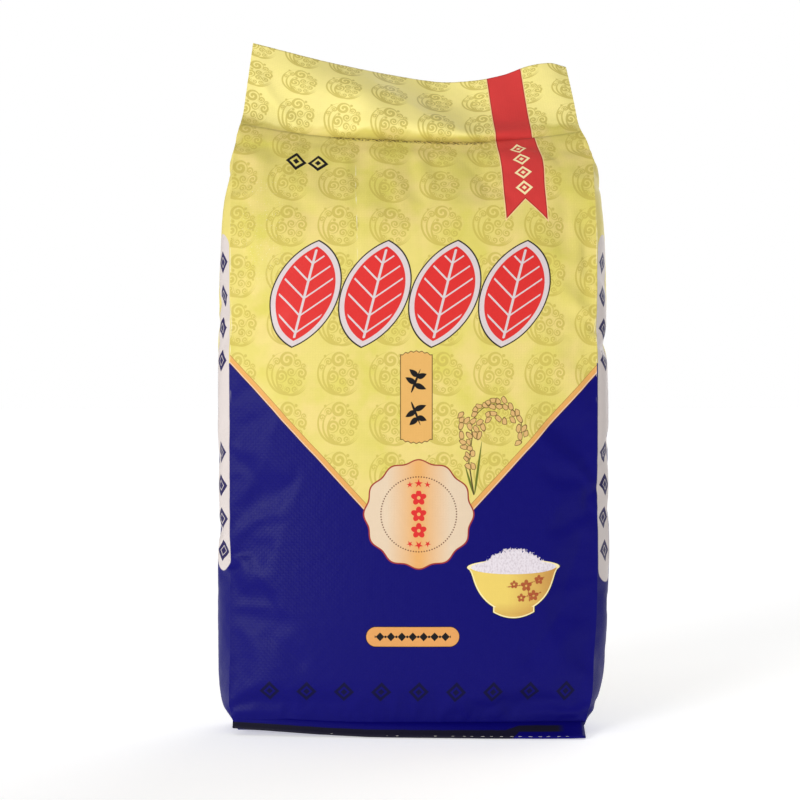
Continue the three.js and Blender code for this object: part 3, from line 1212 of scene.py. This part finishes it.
def lay_bowl(picture, x, y):
    """A footed bowl of white rice, with a twig of blossom on it."""
    aside = x - BOWL_X
    off = size_of(aside)
    down = y - BOWL_RIM
    flare = (down * 0.3).maths("EXPONENT") * 4.4
    wall = greater(reach((off - flare) * 0.98, down * 0.94) - 36.6, down)
    foot = greater(off - 18.4, off * off / 65 - 43.8 - down, down + 33)
    bowl = lesser(wall, foot)
    rim = reach(off / 41.6, down / 6.6) - 1
    rough = flecks(x, y * 0.7, 0.62, 3)
    heap = greater(down - 15.5 + off * off / 62 + rough * 10, -2.5 - down)
    filled = lesser(heap, rim * 30 + 2.4)
    picture.lay(ink(lesser(bowl, greater(rim * 30, -down)) - 0.6), BLACK)
    picture.lay(ink(lesser(bowl, rim * 30)), BOWL_EDGE)
    inside = ink(bowl + 1.1)
    picture.lay(inside, BOWL)
    picture.lay(inside * ink(14 - aside, 40) * 0.72, BOWL_SHADE)
    picture.lay(inside * ink(down + 35, 9) * 0.4, BOWL_SHADE)
    picture.lay(ink(filled), RICE)
    picture.lay(ink(rough + 0.06, 0.25) * ink(filled) * 0.5, RICE_SHADE)
    twigs = lesser(*(stroke(aside, down, *ends, 0.9) for ends in BOWL_TWIGS))
    picture.lay(ink(twigs + rough * 1.5, SOFT) * 0.85, BOWL_RED)
    for across, up, radius in BOWL_BLOSSOMS:
        picture.lay(ink(blossom(aside - across, down - up, radius), SOFT) * 0.9, BOWL_RED)


def lay_small_marks(picture, x, y):
    """The pill-shaped field with its beads, the row near the floor and two small marks above."""
    off_x, off_y = x - PILL_X, y - PILL_Y
    pill = reach(greater(size_of(off_x) - PILL_HALF, off_x * 0), off_y) - PILL_RADIUS
    picture.lay_rings(pill, (0.6, BLACK), (0, PILL))
    diamonds = size_of(repeat(off_x, BEAD_PITCH)) + size_of(off_y) - 3.8
    beads = reach(repeat(off_x + BEAD_PITCH / 2, BEAD_PITCH), off_y) - 1.1
    picture.lay(ink(greater(lesser(diamonds, beads), size_of(off_x) - 33.5)), BLACK)
    spots = lozenge(repeat(x - MARKS_X, MARKS_PITCH), y - MARKS_Y, 7.2, 1.9)
    picture.lay(ink(greater(spots, size_of(x - MARKS_X) - MARKS_HALF), 0.9) * 0.9, NAVY_DARK)
    pair = lozenge(size_of(x - PAIR_X) - PAIR_HALF, y - PAIR_Y, 7.8, 1.9)
    picture.lay(ink(pair), BLACK)


def lay_wear(picture, x, y):
    """Painted shade and dust along the crease, a broken line of painted shade in its valley, painted
    glints, and cracks where the film was folded.
    """
    # Painted shade with a little dust: the crease is darkened for some way on both sides.
    crease_shade_and_dust = ink(size_of(y - CREST + 5) - 9, 16) * (flecks(x * 0.4, y, 0.12) + 1)
    picture.lay(crease_shade_and_dust * 0.11, SHADE_AND_GRIME)
    # Painted shade: a broken dark line along the crease's valley.
    crumbs = ink(flecks(x * 0.5, y, 0.7) * -1 + 0.02, 0.1)
    valley_shade = ink(size_of(y - CREST + 1.2) - 2.1, 1.6) * ink(size_of(x + 3) - 74, 14)
    picture.lay(valley_shade * crumbs * 0.95, SHADE_AND_GRIME)
    # Painted highlight: pale specks on the panel's upper left stand in for glints of the weave's
    # shine.
    painted_glints = ink(flecks(x, y, 0.8) * -1 + 0.21, 0.05)
    glint_patch = ink(reach((x + 136) * 2.4, y - 450) - 55, 40)
    picture.lay(painted_glints * glint_patch * 0.7, WEAR_AND_GLINT)
    cracks = ink(flecks(x * 3, y * 0.6, 0.11) * -1 + 0.03, 0.08)
    side = ink(HALF_PANEL / MM - 0.7 - size_of(x), 0.9) * ink(size_of(y - 378) - 72, 30)
    hairline = ink(size_of(x + 51 + (y - 470) * 0.02) - 0.35, 0.6) * ink(size_of(y - 466) - 44, 20)
    picture.lay(greater(side * 0.5, hairline * 0.6) * cracks, WEAR_AND_GLINT)


# %% Prints as groups
GUSSET_FIELD_EDGE = 326
BAND_OFF, BAND_RADIUS, BAND_LOW, BAND_HIGH, BAND_STEP = 18.5, 13.2, 147.4, 427, 9.6
# The band's marks stand in an upper and a lower row, and the lower row lies a little lower.
ROWS_MIDDLE, ROWS_APART, ROW_HALF, ROW_DROP, BAND_PITCH = 292, 87, 56, 7, 29


def lay_gusset(picture, x, y):
    """Blue below the yellow, and a white band of small marks along each half of the gusset."""
    picture.lay(ink(y - GUSSET_FIELD_EDGE), NAVY)
    off = size_of(x) - BAND_OFF
    low_end = ink(x * -1, 4) * BAND_STEP + BAND_LOW
    past_end = greater(low_end - y, y - BAND_HIGH, y * 0)
    picture.lay(ink(reach(off, past_end) - BAND_RADIUS, 0.8), WHITE)
    row = y - ROWS_MIDDLE
    row = row + ink(row * -1, 1) * ROW_DROP
    upper = size_of(row - ROWS_APART) - ROW_HALF
    lower = size_of(row + ROWS_APART) - ROW_HALF
    mark = lozenge(off, repeat(row - BAND_PITCH / 2, BAND_PITCH), 7.4, 2.5)
    picture.lay(ink(greater(mark, lesser(upper, lower))), MARK_BLUE)


# The seam's shadow lies between two lengths down the hem's outline. At the right it starts and
# ends higher up, and there it also stops.
SHADOW_FROM, SHADOW_TO, FROM_LIFT, TO_LIFT = 14, 30, 4.4, 14.2
SHADOW_TURNS, SHADOW_ENDS = 90, 133


def lay_seam_shadow(picture, x, y):
    """The dark line of the seam's shadowed fold, along the blue film."""
    sway = x.tree.nodes.new("ShaderNodeTexNoise")
    sway.noise_dimensions = "1D"
    sway.inputs["Scale"].default_value = 0.05
    x.tree.links.new(x.socket, sway.inputs["W"])
    uneven = Number(x.tree, sway.outputs["Fac"]) * 3 - 1.5
    right = ink(SHADOW_TURNS - x, 12)
    before = uneven * 0.4 + SHADOW_FROM - right * FROM_LIFT - y
    past = y - SHADOW_TO + right * TO_LIFT
    picture.lay(ink(greater(before, past), 0.8) * ink(x - SHADOW_ENDS, 6) * 0.92, BLACK)


def lay_bottom_line(picture, x, y):
    """A dark line along the middle of the blue underside."""
    picture.lay(ink(size_of(y) - 1.2, 1.0) * 0.5, NAVY_DARK)


PANEL_PRINT = print_group(
    "Panel print", YELLOW, lay_ground, lay_leaves, lay_ribbon, lay_plaque, lay_ear, lay_seal,
    lay_bowl, lay_small_marks, lay_wear,
)
GUSSET_PRINT = print_group("Gusset print", YELLOW, lay_gusset)
HEM_PRINT = print_group("Hem print", NAVY, lay_seam_shadow)
BOTTOM_PRINT = print_group("Bottom print", NAVY, lay_bottom_line)

# %% [markdown]
# ## Woven tapes under film
# The cloth is woven from flat plastic tapes about 2.4 mm wide, with a clear printed film over
# it. The tapes show through as a faint grid of raised squares, and the film has a soft shine that
# is a little uneven. Both effects are shared by every printed piece, so each is a group.


# %% Weave and film groups
def weave_group():
    """How high the woven tapes stand at a place."""
    tree, start, end = new_group(
        "Woven tapes", [("Place", "Vector", None), ("Tape", "Float", 2.4)], [("Height", "Float")]
    )
    x, y = millimetres(tree, start.outputs["Place"])
    tape = Number(tree, start.outputs["Tape"])
    across, up = x / tape, y / tape
    parity = (across.maths("FLOOR") + up.maths("FLOOR")).maths("PINGPONG", 1)
    ridge_x = size_of((across * math.pi).maths("SINE"))
    ridge_y = size_of((up * math.pi).maths("SINE"))
    height = ridge_x * parity + ridge_y * (1 - parity)
    tree.links.new(height.socket, end.inputs["Height"])
    return tree


def film_group():
    """A print seen through worn film: its colour, and the film's roughness and height."""
    tree, start, end = new_group(
        "Film wear",
        [("Place", "Vector", None), ("Color", "Color", None)],
        [("Color", "Color"), ("Roughness", "Float"), ("Height", "Float")],
    )
    soft = cloudy(tree, start.outputs["Place"], "3D", 9, 4)
    fine = cloudy(tree, start.outputs["Place"], "3D", 160, 3)
    shade = tree.nodes.new("ShaderNodeHueSaturation")
    tree.links.new(start.outputs["Color"], shade.inputs["Color"])
    value = soft * 0.1 + fine * 0.05 + 0.925
    tree.links.new(value.socket, shade.inputs["Value"])
    tree.links.new(shade.outputs[0], end.inputs["Color"])
    roughness = soft * 0.16 + fine * 0.1 + 0.3
    tree.links.new(roughness.socket, end.inputs["Roughness"])
    height = soft * 1.5 + fine * 0.12
    tree.links.new(height.socket, end.inputs["Height"])
    return tree


WEAVE, FILM = weave_group(), film_group()


# %% Materials
FILM_IOR = 1.2  # low, because the film over the print has only a faint shine


def sheet_place(tree):
    """The place on a piece's flat sheet, as its UV map gives it."""
    sheet = tree.nodes.new("ShaderNodeUVMap")
    sheet.uv_map = "UVMap"
    return sheet.outputs[0]


def add_bump(tree, shader, height, distance, strength=1.0):
    """Raises a surface by a height, which counts for the distance in millimetres."""
    bump = tree.nodes.new("ShaderNodeBump")
    bump.inputs["Strength"].default_value = strength
    bump.inputs["Distance"].default_value = distance * MM
    tree.links.new(height.socket, bump.inputs["Height"])
    tree.links.new(bump.outputs[0], shader.inputs["Normal"])


def paint_with_hollow_shade(tree, shader, height, deep, high, roughness):
    """A matt surface painted darker where it lies deep and lighter where it stands high, as painted
    shade in its hollows.
    """
    picture = Picture(tree, deep)
    picture.lay(height, high)
    tree.links.new(picture.top, shader.inputs["Base Color"])
    shader.inputs["Roughness"].default_value = roughness
    add_bump(tree, shader, height, 0.2)


def printed_film(name, print_tree):
    """Clear film over printed woven plastic."""
    material, tree, shader = new_material(name)
    place = sheet_place(tree)
    print_node = group_node(tree, print_tree)
    film = group_node(tree, FILM)
    weave = group_node(tree, WEAVE)
    for node in (print_node, film, weave):
        tree.links.new(place, node.inputs["Place"])
    tree.links.new(print_node.outputs["Color"], film.inputs["Color"])
    tree.links.new(film.outputs["Color"], shader.inputs["Base Color"])
    tree.links.new(film.outputs["Roughness"], shader.inputs["Roughness"])
    shader.inputs["IOR"].default_value = FILM_IOR
    tapes, slack = (Number(tree, node.outputs["Height"]) for node in (weave, film))
    add_bump(tree, shader, tapes * 0.08 + slack * 0.25, 1, 0.6)
    return material


def bare_weave():
    """Unprinted woven tapes, inside the sack and at its cut edges."""
    material, tree, shader = new_material("bare_weave")
    weave = group_node(tree, WEAVE)
    tree.links.new(sheet_place(tree), weave.inputs["Place"])
    height = Number(tree, weave.outputs["Height"])
    paint_with_hollow_shade(tree, shader, height, paint(206, 204, 196), paint(236, 234, 228), 0.5)
    return material


def twisted_thread():
    """Matt sewing thread with a visible twist."""
    material, tree, shader = new_material("twisted_thread")
    place = tree.nodes.new("ShaderNodeTexCoord")
    twist = tree.nodes.new("ShaderNodeTexWave")
    twist.bands_direction = "DIAGONAL"
    twist.inputs["Scale"].default_value = 420
    twist.inputs["Distortion"].default_value = 1.5
    tree.links.new(place.outputs["Object"], twist.inputs["Vector"])
    height = Number(tree, twist.outputs["Fac"])
    paint_with_hollow_shade(tree, shader, height, paint(190, 186, 176), paint(232, 228, 218), 0.8)
    return material


PANEL_FILM = printed_film("panel_film", PANEL_PRINT)
GUSSET_FILM = printed_film("gusset_film", GUSSET_PRINT)
HEM_FILM = printed_film("hem_film", HEM_PRINT)
BOTTOM_FILM = printed_film("bottom_film", BOTTOM_PRINT)
BARE_WEAVE = bare_weave()
THREAD = twisted_thread()
print("materials:", len(bpy.data.materials))

# %% [markdown]
# ## Panels and gussets as pieces
# The tube is cut along its four folds, where a real sack is creased anyway, so that each panel
# and each gusset is a piece with its own print.


# %% Cut the tube into its pieces
def finish_piece(piece, slot, *materials):
    """Gives a piece its materials, smooth faces and its body. Its slot is not used."""
    for material in materials:
        piece.data.materials.append(material)
    for polygon in piece.data.polygons:
        polygon.use_smooth = True
    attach(piece, "root")


def cut_piece(index, name):
    """One piece of the tube as an object of its own."""
    part, _, layer = opened(skin_object.data)
    bmesh.ops.delete(part, geom=[f for f in part.faces if f[layer] != index], context="FACES")
    return object_of(name, part)


for index, name in enumerate(PIECES):
    piece = cut_piece(index, name)
    finish_piece(piece, "printed_film", GUSSET_FILM if index % 2 else PANEL_FILM, BARE_WEAVE)
    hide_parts("sack")
    print(name, len(piece.data.polygons), "faces")
bpy.data.objects.remove(skin_object)

# %% [markdown]
# ## The folded bottom seam
# At the bottom, the tube is folded over, sewn shut and tucked under, and the seam's lip runs
# forward of the front panel. It is a flat strip bent round a small outline and drawn along the
# front, so one grid bent round that outline and closed along its length makes it. The strip
# follows the front panel's bow, and its ends lift a little.

# %% Bottom hem
HEM_HEIGHT, HEM_SPAN, HEM_SHIFT = 14 * MM, 306 * MM, -5 * MM
HEM_STEPS = 90
HEM_OUTLINE = (  # depth from the front panel's middle and height, in millimetres
    (6, 12.6), (2, 12.4), (-1.2, 11.8), (-4, 8.4), (-6.8, 5.8), (-9.2, 3.8), (-10.6, 2.9),
    (-11.1, 2.0), (-10.6, 1.1), (-9, 0.5), (-5, 0), (0, 0), (6, 0),
)


def front_bow(x):
    """How far behind its middle the front panel lies at a place across, near the bottom."""
    panel, _, _ = body_section(HEM_HEIGHT / CREASE_HEIGHT)
    middle, fold = panel(0, "front"), panel(1, "front")
    return middle.y, (fold.y - middle.y) * (x / fold.x) ** 2


def hem_turn(x):
    """How far forward the seam's lip swings at a place across: the right end most of all."""
    return 0.068 * x + 0.12 * x * x


def hem_point(s, outline_place):
    """A point of the hem: s runs along it from left to right."""
    depth, height = outline_place
    x = HEM_SHIFT + (s - 0.5) * HEM_SPAN
    middle, bow = front_bow(x)
    low = 1 - height * MM / HEM_HEIGHT
    wobble = noise.noise(Vector((x * 26, 3.1, 0))) * 0.9 + noise.noise(Vector((x * 90, 7.7, 0))) * 0.3
    wobble *= low
    lift = (smoothstep(0.93, 1, 1 - s) + 0.6 * smoothstep(0.95, 1, s)) * low + corner_lift(x) / MM
    y = middle + (depth + wobble) * MM + bow - hem_turn(x) * low
    z = height * MM + (lift + 0.25 * max(0, wobble)) * MM
    return Vector((x, y, z))


count = len(HEM_OUTLINE)
hem, uv = new_grid(HEM_STEPS, count)
place_of = places_in(hem, HEM_STEPS, count)
lengths = [0.0]
for (y0, z0), (y1, z1) in zip(HEM_OUTLINE, HEM_OUTLINE[1:] + HEM_OUTLINE[:1]):
    lengths.append(lengths[-1] + math.hypot(y1 - y0, z1 - z0))
for face in hem.faces:
    for loop in face.loops:
        column, row = place_of[loop.vert]
        loop[uv].uv = ((column / HEM_STEPS - 0.5) * HEM_SPAN, lengths[row] * MM)
for vert, (column, row) in place_of.items():
    vert.co = hem_point(column / HEM_STEPS, HEM_OUTLINE[row % count])
bmesh.ops.remove_doubles(hem, verts=hem.verts, dist=1e-6)
bmesh.ops.holes_fill(hem, edges=[e for e in hem.edges if e.is_boundary], sides=0)
bmesh.ops.recalc_face_normals(hem, faces=hem.faces)
hem_piece = object_of("bottom_hem", hem)
print("hem:", len(hem_piece.data.polygons), "faces")

# %% [markdown]
# ## The seam's thread
# A sewing machine closes such sacks with a coarse chain stitch. Here only a few loops show, as
# pale flecks on the lip's lowest edge. Each is a small sphere drawn out along the seam, and most
# of them lie deeper in the fold.

# %% Stitches
STITCH_PITCH, STITCH_LENGTH, STITCH_WIDTH = 8.2 * MM, 5.2 * MM, 0.7 * MM
STITCH_LINE = (-10.9, 2.4)  # where they lie on the hem's outline
HEM_END = 8 * MM
# How far a stitch comes out of the fold, in its own widths: in the stretch where the most shows
# (between two shares of the hem), and elsewhere.
SHOWN_FROM, SHOWN_TO, SHOWN, HIDDEN = 0.7, 0.86, -0.14, (-0.48, -0.16)
random.seed(7)
thread = bmesh.new()
thread.loops.layers.uv.new("UVMap")
stitches = round((HEM_SPAN - 2 * HEM_END) / STITCH_PITCH)
for index in range(stitches):
    s = (HEM_END + (index + 0.5) * STITCH_PITCH) / HEM_SPAN
    place, ahead = hem_point(s, STITCH_LINE), hem_point(s + 0.01, STITCH_LINE)
    showing = SHOWN if SHOWN_FROM < s < SHOWN_TO else random.uniform(*HIDDEN)
    made = bmesh.ops.create_icosphere(thread, subdivisions=2, radius=0.5, calc_uvs=True)
    bmesh.ops.scale(thread, vec=(STITCH_LENGTH, STITCH_WIDTH, STITCH_WIDTH * 0.8), verts=made["verts"])
    turn = math.atan2(ahead.y - place.y, ahead.x - place.x) + random.uniform(-0.09, 0.09)
    bmesh.ops.rotate(
        thread, cent=(0, 0, 0), matrix=Matrix.Rotation(turn, 3, "Z"), verts=made["verts"]
    )
    place.y -= (showing - 0.4) * STITCH_WIDTH + random.uniform(0, 0.12) * MM
    bmesh.ops.translate(thread, vec=place, verts=made["verts"])
thread_piece = object_of("hem_stitching", thread)
print("stitches:", stitches)

# %% [markdown]
# ## The underside
# The flat bottom closes the tube. It spans from the front panel's lowest edge to the back
# panel's, and the folds of the squared-off gussets stay in it as two shallow creases at each end.

# %% Bottom
BOTTOM_STEPS = (70, 18)
CORNER_FROM, CORNER_SPAN = 0.76, 0.24  # where the folded corners start, as shares of a half width
bottom, uv = new_grid(*BOTTOM_STEPS)
base, _, _ = body_section(0)
flat = {v: (v.co.x, (v.co.y + 1) / 2) for v in bottom.verts}
for vert, (t, s) in flat.items():
    vert.co = base(t, "front").lerp(base(t, "back"), s)
    diagonal = abs(abs(s - 0.5) * 2 - (abs(t) - CORNER_FROM) / CORNER_SPAN)
    fold = max(0, 1 - diagonal / 0.12) * (abs(t) > CORNER_FROM)
    dimple = fold + max(0, 1 - abs(s - 0.5) / 0.05)
    inner = smoothstep(0, 0.06, min(s, 1 - s)) * smoothstep(0, 0.03, 1 - abs(t))
    vert.co.z += (0.2 + 1.0 * min(dimple, 1)) * MM * inner
for face in bottom.faces:
    for loop in face.loops:
        loop[uv].uv = (loop.vert.co.x, loop.vert.co.y)
bmesh.ops.reverse_faces(bottom, faces=bottom.faces)
bottom_piece = object_of("sack_bottom", bottom)

finish_piece(hem_piece, "printed_film", HEM_FILM)
finish_piece(thread_piece, "sewing_thread", THREAD)
finish_piece(bottom_piece, "printed_film", BOTTOM_FILM)
for piece in (hem_piece, thread_piece, bottom_piece):
    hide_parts("sack")
